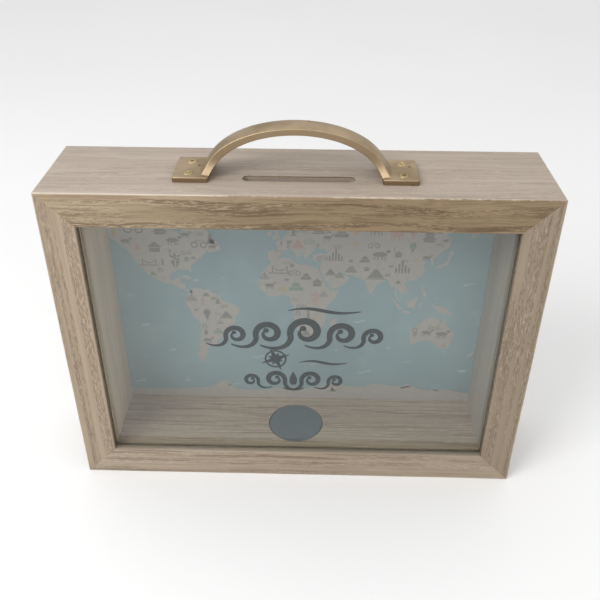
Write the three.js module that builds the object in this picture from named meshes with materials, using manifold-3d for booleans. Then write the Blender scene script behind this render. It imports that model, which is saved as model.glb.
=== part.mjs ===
// A wooden money box built as a deep glazed shadow-box frame, carried like a small suitcase.
// Four mitred mouldings form the case. Behind their front lip sit a glass pane, four liner strips,
// a printed card and a back panel held by tabs. A slot in the top takes coins, a rubber stopper in
// the base lets them out, and a cast pull handle is screwed to the top.
//
// Units are millimetres. +Z is up, the glazed front faces -Y, and +X is the viewer's right.
// The origin is under the middle of the case, on the surface that it stands on.

import * as THREE from "three";
import { mergeVertices } from "three/addons/utils/BufferGeometryUtils.js";
import Module from "manifold-3d";

// ---------- Driving sizes ----------

// Clearances
const seatGap = 0.05; // between flat faces that rest on or are glued to each other
const fitGap = 0.3; // around a piece in its pocket, hole or rebate
const mitreGap = 0.1; // glue line between two mitred ends

// Case
const caseWidth = 250;
const caseHeight = 183;
const caseDepth = 58;
const faceWidth = 18; // width of the moulding seen from the front
const wallThickness = 12; // case wall behind the front lip
const lipDepth = 5; // front lip that the glass rests against

// Glazing, print and back
const glassThickness = 2;
const cardThickness = 0.5;
const backThickness = 3;
const backRecess = 4.5; // from the rear edge of the case in to the back panel

// Coin slot, with round ends
const slotLength = 55;
const slotWidth = 6.2;
const slotSetback = 19.7; // centre of the slot behind the front of the case

// Stopper
const stopperRadius = 16;
const stopperFrontShare = 0.35; // share of the spare floor that lies in front of the stopper
const stopperOffset = -1.5; // sideways from the middle of the case
const flangeOverlap = 3; // flange beyond the stopper's body
const flangeThickness = 2;
const flangeInset = 0.5; // flange face above the surface that the case stands on
const beadHeight = 0.2; // two sealing beads around the body
const gripRecessRadius = 11;
const gripRecessDepth = 10;
const gripBarThickness = 3.6;
const gripBarInset = 1.5; // grip bar above the flange face

// Handle
const handleSpan = 119; // over both feet
const handleSetback = 26.3; // centre line of the handle behind the front of the case
const handleOffset = -1.5; // sideways from the middle of the case
const handleRise = 25.6; // top of the arch above the case
const handleOpening = 79.2; // between the two ends of the arch
const barWidth = 13;
const barCrownThickness = 3.8; // thickness of the bar at the top of the arch
const barEndThickness = 5.8; // thickness of the bar where it meets a foot
const barCrowning = 0.7; // how far the bar's outer face bulges
const barEdgeChamfer = 0.8;
const flareHeight = 12; // height over which the bar widens into its foot
const flareWidth = 24.6; // width of the bar at the foot
const innerBend = 3.2; // how far the bar's inner face turns outwards into its foot
const innerBendHeight = 16; // and over what height
const outerBend = 4.5; // the same for its outer face
const outerBendHeight = 7;
const footWidth = 17.5;
const footDepth = 25.5;
const footThickness = 2.6;
const footCornerRadius = 0.8;

// Handle screws
const screwSpacing = 14; // front screw to rear screw on a foot
const screwInset = 7.2; // screw centres in from the outer end of a foot
const screwRadius = 1.5;
const screwHeadRadius = 2.6;
const screwHeadHeight = 1.6;
const screwDomeHeight = 0.5;
const screwWoodCover = 2.5; // wood left under the tip of a screw
const recessArmLength = 3.4;
const recessArmWidth = 0.8;
const recessDepth = 1.1;

// Tabs that hold the back panel
const tabWidth = 6;
const tabLength = 15;
const tabThickness = 0.5;
const tabBite = 4; // length of a tab inside the case wall
const tabTipWidth = 3;
const tabsAcross = 3; // along the top and along the base
const tabsUpright = 2; // along each side

// Wedge nails across the mitres
const nailWing = 5;
const nailThickness = 0.6;
const nailDepth = 8;
const nailInset = 0.4; // sunk below the rear edge
const nailFromCorner = 4; // apex in from both outer faces
const nailOpening = 84; // degrees between the wings

const roundSegments = 48;
const screwSegments = 20;
const archSegments = 40;

// ---------- Worked-out places ----------

const frontY = -caseDepth / 2;
const rearY = caseDepth / 2;
const linerThickness = faceWidth - wallThickness - seatGap;
const innerWidth = caseWidth - 2 * wallThickness;
const innerHeight = caseHeight - 2 * wallThickness;
const midHeight = caseHeight / 2;
const glassFrontY = frontY + lipDepth + seatGap;
const backPanelY = rearY - backRecess - backThickness;
const cardY = backPanelY - seatGap - cardThickness;
const linerFrontY = glassFrontY + glassThickness + seatGap;
const linerDepth = cardY - seatGap - linerFrontY;
const slotY = frontY + slotSetback;
const flangeRadius = stopperRadius + beadHeight + flangeOverlap;
const boreRadius = stopperRadius + beadHeight + fitGap;
const spareFloor = linerDepth - 2 * boreRadius;
const stopperY = linerFrontY + spareFloor * stopperFrontShare + boreRadius;
const handleY = frontY + handleSetback;
const screwX = handleSpan / 2 - screwInset;
const degrees = Math.PI / 180;

// ---------- Finishes ----------

const finish = (color, roughness, metalness = 0) =>
  new THREE.MeshStandardMaterial({ color, roughness, metalness });
const finishes = {
  oak: () => finish(0xb3a28e, 0.65),
  liner: () => finish(0xa89a88, 0.75),
  glass: () => {
    const material = finish(0xeef3f2, 0.05);
    material.transparent = true;
    material.opacity = 0.3;
    return material;
  },
  card: () => finish(0x89979a, 0.8),
  fibreboard: () => finish(0x8d7354, 0.85),
  antiqueBrass: () => finish(0xa5916e, 0.4, 0.9),
  brass: () => finish(0xb39a6a, 0.35, 0.9),
  steel: () => finish(0x9a9a98, 0.4, 0.9),
  rubber: () => finish(0x5f686b, 0.7),
};

// ---------- Solids ----------

const wasm = await Module();
wasm.setup();

// A closed geometry as a solid that can be joined and cut.
function solidOf(geometry) {
  const bare = geometry.clone();
  bare.deleteAttribute("normal");
  bare.deleteAttribute("uv");
  const merged = mergeVertices(bare, 1e-4);
  return new wasm.Manifold(
    new wasm.Mesh({
      numProp: 3,
      vertProperties: new Float32Array(merged.attributes.position.array),
      triVerts: new Uint32Array(merged.index.array),
    }),
  );
}

// A solid as a geometry that a mesh can show.
function geometryOf(solid) {
  const mesh = solid.getMesh();
  const geometry = new THREE.BufferGeometry();
  geometry.setAttribute("position", new THREE.BufferAttribute(mesh.vertProperties, mesh.numProp));
  geometry.setIndex(new THREE.BufferAttribute(mesh.triVerts, 1));
  return geometry;
}

const cut = (geometry, ...cutters) =>
  geometryOf(cutters.reduce((left, cutter) => left.subtract(solidOf(cutter)), solidOf(geometry)));

const join = (...geometries) =>
  geometryOf(geometries.map(solidOf).reduce((whole, next) => whole.add(next)));

// A box between two corners.
function boxBetween([x0, y0, z0], [x1, y1, z1]) {
  const box = new THREE.BoxGeometry(x1 - x0, y1 - y0, z1 - z0);
  return box.translate((x0 + x1) / 2, (y0 + y1) / 2, (z0 + z1) / 2);
}

// An upright cylinder between two heights.
function postBetween(radius, z0, z1, segments = roundSegments) {
  const post = new THREE.CylinderGeometry(radius, radius, z1 - z0, segments);
  return post.rotateX(Math.PI / 2).translate(0, 0, (z0 + z1) / 2);
}

// A shape drawn on X and Y, extruded up from z0 to z1.
function plateBetween(shape, z0, z1, curveSegments = 8) {
  const plate = new THREE.ExtrudeGeometry(shape, { depth: z1 - z0, bevelEnabled: false, curveSegments });
  return plate.translate(0, 0, z0);
}

// A profile of [radius, height] points from the axis back to the axis, turned about Z.
function turned(profile, segments) {
  const points = profile.map(([radius, height]) => new THREE.Vector2(radius, height));
  return new THREE.LatheGeometry(points, segments).rotateX(Math.PI / 2);
}

function polygon(points) {
  return new THREE.Shape(points.map(([x, y]) => new THREE.Vector2(x, y)));
}

function roundedRectangle(width, depth, radius) {
  const x = width / 2;
  const y = depth / 2;
  const shape = new THREE.Shape();
  shape.moveTo(-x + radius, -y);
  shape.lineTo(x - radius, -y);
  shape.absarc(x - radius, -y + radius, radius, -Math.PI / 2, 0);
  shape.lineTo(x, y - radius);
  shape.absarc(x - radius, y - radius, radius, 0, Math.PI / 2);
  shape.lineTo(-x + radius, y);
  shape.absarc(-x + radius, y - radius, radius, Math.PI / 2, Math.PI);
  shape.lineTo(-x, -y + radius);
  shape.absarc(-x + radius, -y + radius, radius, Math.PI, 1.5 * Math.PI);
  return shape;
}

// ---------- Case mouldings ----------

// One mitred moulding lying along X with its outer face on z = 0 and the case's inside below it.
// Its section is a deep wall with a wider lip at the front.
function moulding(length) {
  const section = polygon([
    [0, frontY],
    [faceWidth, frontY],
    [faceWidth, frontY + lipDepth],
    [wallThickness, frontY + lipDepth],
    [wallThickness, rearY],
    [0, rearY],
  ]);
  const bar = new THREE.ExtrudeGeometry(section, { depth: 1, bevelEnabled: false });
  const place = bar.attributes.position;
  const halfLength = length / 2 - mitreGap / Math.SQRT2;
  for (let i = 0; i < place.count; i++) {
    const inward = place.getX(i);
    const y = place.getY(i);
    const end = place.getZ(i) < 0.5 ? -1 : 1;
    place.setXYZ(i, end * (halfLength - inward), y, -inward);
  }
  return bar;
}

// The top moulding's lengthwise X runs along the case. The others are the same bar turned about Y.
const turnedBar = (length, quarterTurns) =>
  moulding(length).rotateY((quarterTurns * Math.PI) / 2);
const topBar = () => turnedBar(caseWidth, 0).translate(0, 0, caseHeight);
const rightBar = () => turnedBar(caseHeight, 1).translate(caseWidth / 2, 0, midHeight);
const baseBar = () => turnedBar(caseWidth, 2);
const leftBar = () => turnedBar(caseHeight, 3).translate(-caseWidth / 2, 0, midHeight);

// ---------- Wedge nails ----------

// The case's corners as the side (-1 left, 1 right) and the end (-1 base, 1 top) that they are on.
const corners = [
  { name: "left_top", side: -1, end: 1 },
  { name: "right_top", side: 1, end: 1 },
  { name: "left_base", side: -1, end: -1 },
  { name: "right_base", side: 1, end: -1 },
];

// A nail's V outline as distances in from the two outer faces, grown by a margin on every side.
function nailOutline(margin) {
  const half = nailThickness / 2 + margin;
  const halfOpening = (nailOpening / 2) * degrees;
  const lean = Math.PI / 4 - halfOpening;
  const apex = half / (Math.sin(halfOpening) * Math.SQRT2);
  const wing = (aside) => [
    nailFromCorner + Math.cos(lean) * (nailWing + margin) - Math.sin(lean) * aside,
    nailFromCorner + Math.sin(lean) * (nailWing + margin) + Math.cos(lean) * aside,
  ];
  const swapped = ([u, v]) => [v, u];
  return [
    [nailFromCorner - apex, nailFromCorner - apex],
    wing(-half),
    wing(half),
    [nailFromCorner + apex, nailFromCorner + apex],
    swapped(wing(half)),
    swapped(wing(-half)),
  ];
}

// A nail driven in from the rear at one corner, or with a margin the pocket that it sits in.
function nailAt({ side, end }, margin = 0) {
  const outline = nailOutline(margin).map(([u, v]) => [
    side * (caseWidth / 2 - u),
    midHeight + end * (midHeight - v),
  ]);
  const tip = rearY - nailInset - nailDepth - margin;
  const head = margin > 0 ? rearY + margin : rearY - nailInset;
  const nail = new THREE.ExtrudeGeometry(polygon(outline), { depth: head - tip, bevelEnabled: false });
  return nail.rotateX(Math.PI / 2).translate(0, head, 0);
}

const nailPockets = (key, value) =>
  corners.filter((corner) => corner[key] === value).map((corner) => nailAt(corner, fitGap));

// ---------- Back tabs ----------

// Where each tab enters a wall's inner face, and the quarter turns about Y that point it that way.
function tabPlaces() {
  const places = [];
  for (let i = 0; i < tabsAcross; i++) {
    const x = innerWidth * ((i + 0.5) / tabsAcross - 0.5);
    places.push({ name: `back_tab_top_${i + 1}`, wall: "top", x, z: caseHeight - wallThickness, quarter: 0 });
    places.push({ name: `back_tab_base_${i + 1}`, wall: "base", x, z: wallThickness, quarter: 2 });
  }
  for (let i = 0; i < tabsUpright; i++) {
    const z = midHeight + innerHeight * ((i + 0.5) / tabsUpright - 0.5);
    places.push({ name: `back_tab_right_${i + 1}`, wall: "right", x: innerWidth / 2, z, quarter: 1 });
    places.push({ name: `back_tab_left_${i + 1}`, wall: "left", x: -innerWidth / 2, z, quarter: 3 });
  }
  return places;
}

// A flat tab with a pointed tip, lying on the back panel. With a margin it is the pocket for its tip.
function tabAt({ x, z, quarter }, margin = 0) {
  const half = tabWidth / 2 + margin;
  const tip = tabBite + margin;
  const outline = polygon([
    [-half, tabBite - tabLength],
    [half, tabBite - tabLength],
    [half, tip - tabBite / 2],
    [tabTipWidth / 2 + margin, tip],
    [-tabTipWidth / 2 - margin, tip],
    [-half, tip - tabBite / 2],
  ]);
  const tab = new THREE.ExtrudeGeometry(outline, { depth: tabThickness + 2 * margin, bevelEnabled: false });
  const faceY = rearY - backRecess + seatGap - margin;
  tab.rotateX(Math.PI / 2).translate(0, tabThickness + 2 * margin, 0);
  return tab.rotateY((quarter * Math.PI) / 2).translate(x, faceY, z);
}

const tabPockets = (wall) =>
  tabPlaces().filter((place) => place.wall === wall).map((place) => tabAt(place, fitGap));

// ---------- Coin slot ----------

// A cutter for the slot between two heights, grown by a margin on every side.
function slotCutter(z0, z1, margin = 0) {
  const width = slotWidth + 2 * margin;
  const shape = roundedRectangle(slotLength + 2 * margin, width, width / 2 - 0.001);
  return plateBetween(shape, z0, z1, 10).translate(0, slotY, 0);
}

// ---------- Stopper ----------

// The stopper with its flange at the bottom, two sealing beads and a hollow underside.
function stopperSolid() {
  const bottom = flangeInset;
  const shoulder = bottom + flangeThickness;
  const top = faceWidth;
  const edge = 0.8; // rounding at the rims
  const beads = [0.35, 0.75].map((share) => shoulder + (top - shoulder) * share);
  const recessTop = bottom + gripRecessDepth;
  const beadPoints = beads.flatMap((z) => [
    [stopperRadius, z - 1],
    [stopperRadius + beadHeight, z],
    [stopperRadius, z + 1],
  ]);
  const body = turned(
    [
      [0, recessTop],
      [gripRecessRadius - edge, recessTop],
      [gripRecessRadius, recessTop - edge],
      [gripRecessRadius, bottom],
      [flangeRadius - edge / 2, bottom],
      [flangeRadius, bottom + edge / 2],
      [flangeRadius, shoulder],
      [stopperRadius, shoulder],
      ...beadPoints,
      [stopperRadius, top - edge],
      [stopperRadius - edge, top],
      [0, top],
    ],
    roundSegments,
  );
  const reach = gripRecessRadius + 1;
  const bar = boxBetween(
    [-gripBarThickness / 2, -reach, bottom + gripBarInset],
    [gripBarThickness / 2, reach, recessTop + 1],
  );
  return join(body, bar).translate(stopperOffset, stopperY, 0);
}

// The stepped hole for the stopper through the base moulding and its liner.
function stopperHole() {
  const shoulder = flangeInset + flangeThickness + fitGap;
  const bore = postBetween(boreRadius, -1, faceWidth + 1);
  const counterbore = postBetween(flangeRadius + fitGap, -1, shoulder);
  return [bore, counterbore].map((cutter) => cutter.translate(stopperOffset, stopperY, 0));
}

// ---------- Handle and its screws ----------

// One section across the arch at an angle from the right foot: an outer face that bulges a little,
// two chamfered edges and a flat underside, wider where it flares into a foot.
function barSection(angle) {
  const side = Math.cos(angle) < 0 ? -1 : 1;
  const bend = (height, reach, over) => side * reach * Math.max(0, 1 - height / over) ** 2;
  const low = Math.sin(angle) * (handleRise - barCrownThickness);
  const high = Math.sin(angle) * handleRise;
  const inner = [
    Math.cos(angle) * (handleOpening / 2) + bend(low, innerBend, innerBendHeight),
    low,
  ];
  const outer = [
    Math.cos(angle) * (handleOpening / 2 + barEndThickness) +
      bend(high, outerBend, outerBendHeight),
    high,
  ];
  const between = (share) => inner.map((value, i) => value + (outer[i] - value) * share);
  const thickness = Math.hypot(outer[0] - inner[0], outer[1] - inner[1]);
  const shoulder = 1 - (barEdgeChamfer + barCrowning) / thickness;
  const near = 1 - barCrowning / thickness;
  const flare = Math.max(0, 1 - inner[1] / flareHeight) ** 2;
  const half = (barWidth + (flareWidth - barWidth) * flare) / 2;
  const at = (share, y) => {
    const [x, z] = between(share);
    return [x, y, z];
  };
  return [
    at(0, -half + barEdgeChamfer),
    at(0, half - barEdgeChamfer),
    at(barEdgeChamfer / thickness, half),
    at(shoulder, half),
    at(near, half - barEdgeChamfer),
    at(1, half / 3),
    at(1, -half / 3),
    at(near, -half + barEdgeChamfer),
    at(shoulder, -half),
    at(barEdgeChamfer / thickness, -half),
  ];
}

// A closed skin over a run of sections that all have the same number of points.
function skinOver(sections) {
  const count = sections[0].length;
  const index = [];
  for (let i = 0; i + 1 < sections.length; i++) {
    for (let j = 0; j < count; j++) {
      const a = i * count + j;
      const b = i * count + ((j + 1) % count);
      index.push(a, a + count, b, b, a + count, b + count);
    }
  }
  const last = (sections.length - 1) * count;
  for (let j = 1; j + 1 < count; j++) {
    index.push(0, j, j + 1, last, last + j + 1, last + j);
  }
  const skin = new THREE.BufferGeometry();
  skin.setAttribute("position", new THREE.Float32BufferAttribute(sections.flat(2), 3));
  skin.setIndex(index);
  return skin;
}

function arch() {
  const sections = [];
  for (let i = 0; i <= archSegments; i++) {
    sections.push(barSection((Math.PI * i) / archSegments));
  }
  return skinOver(sections);
}

function foot(side) {
  const edge = 0.6; // chamfer around the top of the plate
  const shape = roundedRectangle(footWidth - 2 * edge, footDepth - 2 * edge, footCornerRadius);
  const plate = new THREE.ExtrudeGeometry(shape, {
    depth: footThickness - edge,
    bevelThickness: edge,
    bevelSize: edge,
    bevelSegments: 1,
    curveSegments: 4,
  });
  const flat = boxBetween([-footWidth, -footDepth, -2 * edge], [footWidth, footDepth, 0]);
  return cut(plate, flat).translate((side * (handleSpan - footWidth)) / 2, 0, 0);
}

const screwPlaces = [-1, 1].flatMap((side) =>
  [-1, 1].map((end) => ({
    name: `handle_screw_${side < 0 ? "left" : "right"}_${end < 0 ? "front" : "rear"}`,
    x: side * screwX,
    y: (end * screwSpacing) / 2,
  })),
);

// A screw's turned profile. The head's rim is at the top of the foot.
function screwProfile(margin) {
  const rim = footThickness;
  const tip = -(wallThickness - screwWoodCover);
  const shank = screwRadius + margin;
  const head = screwHeadRadius + margin;
  return { rim, tip: tip - margin, shank, head, neck: rim - screwHeadHeight };
}

function screw() {
  const { rim, tip, shank, head, neck } = screwProfile(0);
  const body = turned(
    [
      [0, tip],
      [shank, tip + 3],
      [shank, neck],
      [head, rim - 0.15],
      [head, rim],
      [head * 0.7, rim + screwDomeHeight * 0.7],
      [0, rim + screwDomeHeight],
    ],
    screwSegments,
  );
  const top = rim + screwDomeHeight + 1;
  const floor = rim + screwDomeHeight - recessDepth;
  const arm = (length, width) =>
    boxBetween([-length / 2, -width / 2, floor], [length / 2, width / 2, top]);
  return cut(body, arm(recessArmLength, recessArmWidth), arm(recessArmWidth, recessArmLength));
}

// The countersunk hole that a screw passes through, from its tip to above its head.
function screwHole() {
  const { rim, tip, shank, head, neck } = screwProfile(fitGap);
  return turned(
    [
      [0, tip],
      [shank, tip],
      [shank, neck - fitGap / 2],
      [head, rim - 0.15 - fitGap / 2],
      [head, rim + 2],
      [0, rim + 2],
    ],
    screwSegments,
  );
}

const screwHolesInCase = () =>
  screwPlaces.map(({ x, y }) =>
    screwHole().translate(handleOffset + x, handleY + y, caseHeight + seatGap),
  );

function handleSolid() {
  const whole = join(arch(), foot(-1), foot(1));
  return cut(whole, ...screwPlaces.map(({ x, y }) => screwHole().translate(x, y, 0)));
}

// ---------- The pieces ----------

const moneyBox = new THREE.Group();

function addPiece(name, geometry, material, parent = moneyBox) {
  const mesh = new THREE.Mesh(geometry, material);
  mesh.name = name;
  parent.add(mesh);
  return mesh;
}

function addCase() {
  const slot = slotCutter(caseHeight - faceWidth, caseHeight + 1);
  const topPockets = [...screwHolesInCase(), ...tabPockets("top"), ...nailPockets("end", 1)];
  const basePockets = [...tabPockets("base"), ...nailPockets("end", -1)];
  const leftPockets = [...tabPockets("left"), ...nailPockets("side", -1)];
  const rightPockets = [...tabPockets("right"), ...nailPockets("side", 1)];
  addPiece("case_top", cut(topBar(), slot, ...topPockets), finishes.oak());
  addPiece("case_base", cut(baseBar(), ...stopperHole(), ...basePockets), finishes.oak());
  addPiece("case_left", cut(leftBar(), ...leftPockets), finishes.oak());
  addPiece("case_right", cut(rightBar(), ...rightPockets), finishes.oak());
  for (const corner of corners) {
    addPiece(`corner_nail_${corner.name}`, nailAt(corner), finishes.steel());
  }
}

// A sheet that fills the case inside its walls, with room to drop in.
function sheetBetween(y0, y1) {
  const x = innerWidth / 2 - fitGap;
  return boxBetween([-x, y0, wallThickness + fitGap], [x, y1, caseHeight - wallThickness - fitGap]);
}

function addSheets() {
  addPiece("glass_pane", sheetBetween(glassFrontY, glassFrontY + glassThickness), finishes.glass());
  addPiece("map_card", sheetBetween(cardY, cardY + cardThickness), finishes.card());
  addPiece("back_panel", sheetBetween(backPanelY, backPanelY + backThickness), finishes.fibreboard());
  for (const place of tabPlaces()) {
    addPiece(place.name, tabAt(place), finishes.steel());
  }
}

// The liner strips space the card back from the glass, flush with the inside of the front lip.
function addLiner() {
  const rearLinerY = linerFrontY + linerDepth;
  const outerX = innerWidth / 2 - seatGap;
  const innerX = outerX - linerThickness;
  const baseZ = wallThickness + seatGap;
  const floorZ = baseZ + linerThickness;
  const topZ = caseHeight - wallThickness - seatGap;
  const ceilingZ = topZ - linerThickness;
  const floor = boxBetween([-outerX, linerFrontY, baseZ], [outerX, rearLinerY, floorZ]);
  const ceiling = boxBetween([-outerX, linerFrontY, ceilingZ], [outerX, rearLinerY, topZ]);
  const upright = (side) =>
    boxBetween(
      [side < 0 ? -outerX : innerX, linerFrontY, floorZ + seatGap],
      [side < 0 ? -innerX : outerX, rearLinerY, ceilingZ - seatGap],
    );
  addPiece("liner_base", cut(floor, stopperHole()[0]), finishes.liner());
  addPiece("liner_top", cut(ceiling, slotCutter(ceilingZ - 1, topZ + 1, fitGap)), finishes.liner());
  addPiece("liner_left", upright(-1), finishes.liner());
  addPiece("liner_right", upright(1), finishes.liner());
}

function addHandle() {
  const handle = new THREE.Group();
  handle.position.set(handleOffset, handleY, caseHeight + seatGap);
  moneyBox.add(handle);
  addPiece("handle", handleSolid(), finishes.antiqueBrass(), handle);
  for (const { name, x, y } of screwPlaces) {
    addPiece(name, screw(), finishes.brass(), handle).position.set(x, y, 0);
  }
}

addCase();
addSheets();
addLiner();
addHandle();
addPiece("stopper", stopperSolid(), finishes.rubber());

export default moneyBox;
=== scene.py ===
# Looks of the wooden money box: a suitcase-style glazed case in limed oak with a world map inside.
# Everything is in metres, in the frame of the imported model: +X right, -Y out of the glass, +Z up.
import math
import random

import bmesh
import bpy
from mathutils import Euler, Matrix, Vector, noise


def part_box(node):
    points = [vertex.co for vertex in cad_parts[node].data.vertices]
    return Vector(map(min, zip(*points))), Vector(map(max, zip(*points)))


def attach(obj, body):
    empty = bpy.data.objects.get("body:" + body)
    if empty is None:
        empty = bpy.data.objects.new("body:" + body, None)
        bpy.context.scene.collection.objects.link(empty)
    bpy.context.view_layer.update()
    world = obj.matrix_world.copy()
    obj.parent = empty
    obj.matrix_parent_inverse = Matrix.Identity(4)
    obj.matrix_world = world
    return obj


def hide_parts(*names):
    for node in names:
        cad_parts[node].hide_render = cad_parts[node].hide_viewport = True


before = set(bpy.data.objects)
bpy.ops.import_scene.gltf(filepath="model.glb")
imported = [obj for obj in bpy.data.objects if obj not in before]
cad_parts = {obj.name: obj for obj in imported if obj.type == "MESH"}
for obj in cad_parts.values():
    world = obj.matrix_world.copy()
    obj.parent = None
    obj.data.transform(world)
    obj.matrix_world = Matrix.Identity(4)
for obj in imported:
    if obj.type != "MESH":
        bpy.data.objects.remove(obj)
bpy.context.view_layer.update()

MM = 0.001
CASE = "case"  # the CAD body that everything but the stopper belongs to

case_low, case_high = Vector(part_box("case_left")[0]), Vector(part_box("case_right")[1])
case_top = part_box("case_top")[1].z
front_y = case_low.y
glass_low, glass_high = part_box("glass_pane")
card_low, card_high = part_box("map_card")
window_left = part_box("liner_left")[1].x
window_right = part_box("liner_right")[0].x
window_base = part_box("liner_base")[1].z
window_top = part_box("liner_top")[0].z
SLOT_Y = front_y + 19.7 * MM  # middle of the coin slot
SLOT_HALF_LENGTH, SLOT_HALF_WIDTH = 27.5 * MM, 3.1 * MM


# ---------- Working with objects ----------

def deselect():
    bpy.ops.object.select_all(action="DESELECT")


def pick(obj):
    deselect()
    obj.select_set(True)
    bpy.context.view_layer.objects.active = obj
    return obj


def edit(obj, mode="VERT"):
    pick(obj)
    bpy.ops.object.mode_set(mode="EDIT")
    bpy.ops.mesh.select_mode(type=mode)
    choose_none()


def leave():
    bpy.ops.object.mode_set(mode="OBJECT")


def choose(obj, faces=None, edges=None, verts=None):
    """Selects, in edit mode, the elements that a test picks."""
    mesh = bmesh.from_edit_mesh(obj.data)
    for group, test in ((mesh.faces, faces), (mesh.edges, edges), (mesh.verts, verts)):
        if test:
            for element in group:
                if test(element):
                    element.select_set(True)
    mesh.select_flush_mode()
    bmesh.update_edit_mesh(obj.data)


def choose_all():
    bpy.ops.mesh.select_all(action="SELECT")


def choose_none():
    bpy.ops.mesh.select_all(action="DESELECT")


def link(obj):
    bpy.context.scene.collection.objects.link(obj)
    return obj


def apply_modifier(obj, kind, **settings):
    pick(obj)
    modifier = obj.modifiers.new(kind.title(), kind)
    for key, value in settings.items():
        setattr(modifier, key, value)
    bpy.ops.object.modifier_apply(modifier=modifier.name)


def settle(obj):
    """Puts the object's place, turn and size into its mesh."""
    pick(obj)
    bpy.ops.object.transform_apply(location=True, rotation=True, scale=True)


def block(size, place, turn=0):
    """The start of a piece: a cube stretched to its size at its place, turned about Z by some degrees."""
    bpy.ops.mesh.primitive_cube_add(size=1, location=place, rotation=(0, 0, math.radians(turn)))
    made = bpy.context.object
    made.scale = size
    settle(made)
    return made


def draw_up(rise, grow=1):
    """Extrudes the chosen face upwards, then widens or narrows it about the Z axis."""
    bpy.ops.mesh.extrude_region_move(TRANSFORM_OT_translate={"value": (0, 0, rise)})
    bpy.ops.transform.resize(value=(grow, grow, 1), center_override=(0, 0, 0))


def combine(obj, other, operation):
    apply_modifier(obj, "BOOLEAN", object=other, operation=operation, solver="EXACT")
    bpy.data.objects.remove(other)


def finish_piece(obj, name, nodes, material, body=CASE, smooth=30, level=True):
    """Gives a piece its name, finish and body. Level keeps flat faces flat beside their rounded edges."""
    obj.name = name
    obj.data.name = name
    if material:
        obj.data.materials.clear()
        obj.data.materials.append(material)
    pick(obj)
    bpy.ops.object.shade_smooth_by_angle(angle=math.radians(smooth))
    if level:
        apply_modifier(obj, "WEIGHTED_NORMAL", keep_sharp=True, weight=100)
    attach(obj, body)
    if nodes:
        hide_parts(*nodes)
    return obj


def node_copy(node):
    """A copy of a CAD node with its loose triangles merged into whole faces."""
    obj = link(bpy.data.objects.new(node + "_copy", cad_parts[node].data.copy()))
    edit(obj)
    choose_all()
    bpy.ops.mesh.remove_doubles(threshold=0.002 * MM)
    bpy.ops.mesh.dissolve_limited(angle_limit=math.radians(0.5))
    leave()
    return obj


def soften(obj, test, width, segments=2):
    """Rounds the edges that a test picks. The test gives 1 for the whole width, or a share of it."""
    weights = obj.data.attributes.new("bevel_weight_edge", "FLOAT", "EDGE")
    mesh = bmesh.new()
    mesh.from_mesh(obj.data)
    mesh.edges.ensure_lookup_table()
    shares = {
        edge.index: float(test(edge))
        for edge in mesh.edges
        if len(edge.link_faces) == 2 and edge.calc_face_angle(0) > math.radians(25)
    }
    mesh.free()
    for index, share in shares.items():
        weights.data[index].value = share
    apply_modifier(
        obj, "BEVEL", width=width, segments=segments, limit_method="WEIGHT", use_clamp_overlap=False
    )


# ---------- Shader helpers ----------

def wire(tree, made, inputs):
    """Fills a node's inputs, each with a value or another node's output. i0, i1 ... stand for places."""
    for key, value in inputs.items():
        by_place = key[0] == "i" and key[1:].isdigit()
        socket = made.inputs[int(key[1:]) if by_place else key.replace("_", " ")]
        if isinstance(value, bpy.types.NodeSocket):
            tree.links.new(value, socket)
        else:
            socket.default_value = value
    return made


def put(tree, kind, settings=None, **inputs):
    made = tree.nodes.new("ShaderNode" + kind)
    for key, value in (settings or {}).items():
        setattr(made, key, value)
    return wire(tree, made, inputs)


def math_of(tree, operation, a, b=0.0, c=0.0):
    return put(tree, "Math", {"operation": operation}, i0=a, i1=b, i2=c).outputs[0]


def times(tree, a, b, more=0.0):
    """a times b, with more added."""
    return math_of(tree, "MULTIPLY_ADD", a, b, more)


def without(tree, a):
    return math_of(tree, "SUBTRACT", 1.0, a)


def vector_of(tree, operation, a, b=(0, 0, 0)):
    return put(tree, "VectorMath", {"operation": operation}, i0=a, i1=b).outputs[0]


def axes(tree, vector):
    return put(tree, "SeparateXYZ", Vector=vector).outputs


def ramp(tree, value, low, high):
    """0 below low and 1 above high, smooth between."""
    settings = {"interpolation_type": "SMOOTHSTEP"}
    return put(tree, "MapRange", settings, Value=value, From_Min=low, From_Max=high).outputs["Result"]


def mixed(tree, share, first, second, blend="MIX"):
    settings = {"data_type": "RGBA", "blend_type": blend}
    return put(tree, "Mix", settings, i0=share, i6=first, i7=second).outputs[2]


def noise_of(tree, vector, scale=1.0, detail=2.0, roughness=0.5):
    made = put(tree, "TexNoise", Vector=vector, Scale=scale, Detail=detail, Roughness=roughness)
    return made.outputs["Fac"]


def stretched(tree, vector, x, y, z, place=(0, 0, 0)):
    return put(tree, "Mapping", Vector=vector, Scale=(x, y, z), Location=place).outputs["Vector"]


def tint(red, green, blue):
    """A colour given as it looks on a screen, 0 to 255, as the linear values that shaders use."""
    def linear(value):
        share = value / 255
        return share / 12.92 if share <= 0.04045 else ((share + 0.055) / 1.055) ** 2.4
    return (linear(red), linear(green), linear(blue), 1.0)


def new_group(name, inputs, outputs):
    group = bpy.data.node_groups.new(name, "ShaderNodeTree")
    kinds = {"v": "NodeSocketVector", "c": "NodeSocketColor", "f": "NodeSocketFloat"}
    for label, kind, value in inputs:
        socket = group.interface.new_socket(label, in_out="INPUT", socket_type=kinds[kind])
        if value is not None:
            socket.default_value = value
    for label, kind in outputs:
        group.interface.new_socket(label, in_out="OUTPUT", socket_type=kinds[kind])
    return group, group.nodes.new("NodeGroupInput").outputs, group.nodes.new("NodeGroupOutput").inputs


def use_group(tree, group, **inputs):
    made = tree.nodes.new("ShaderNodeGroup")
    made.node_tree = group
    return wire(tree, made, inputs).outputs


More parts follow.
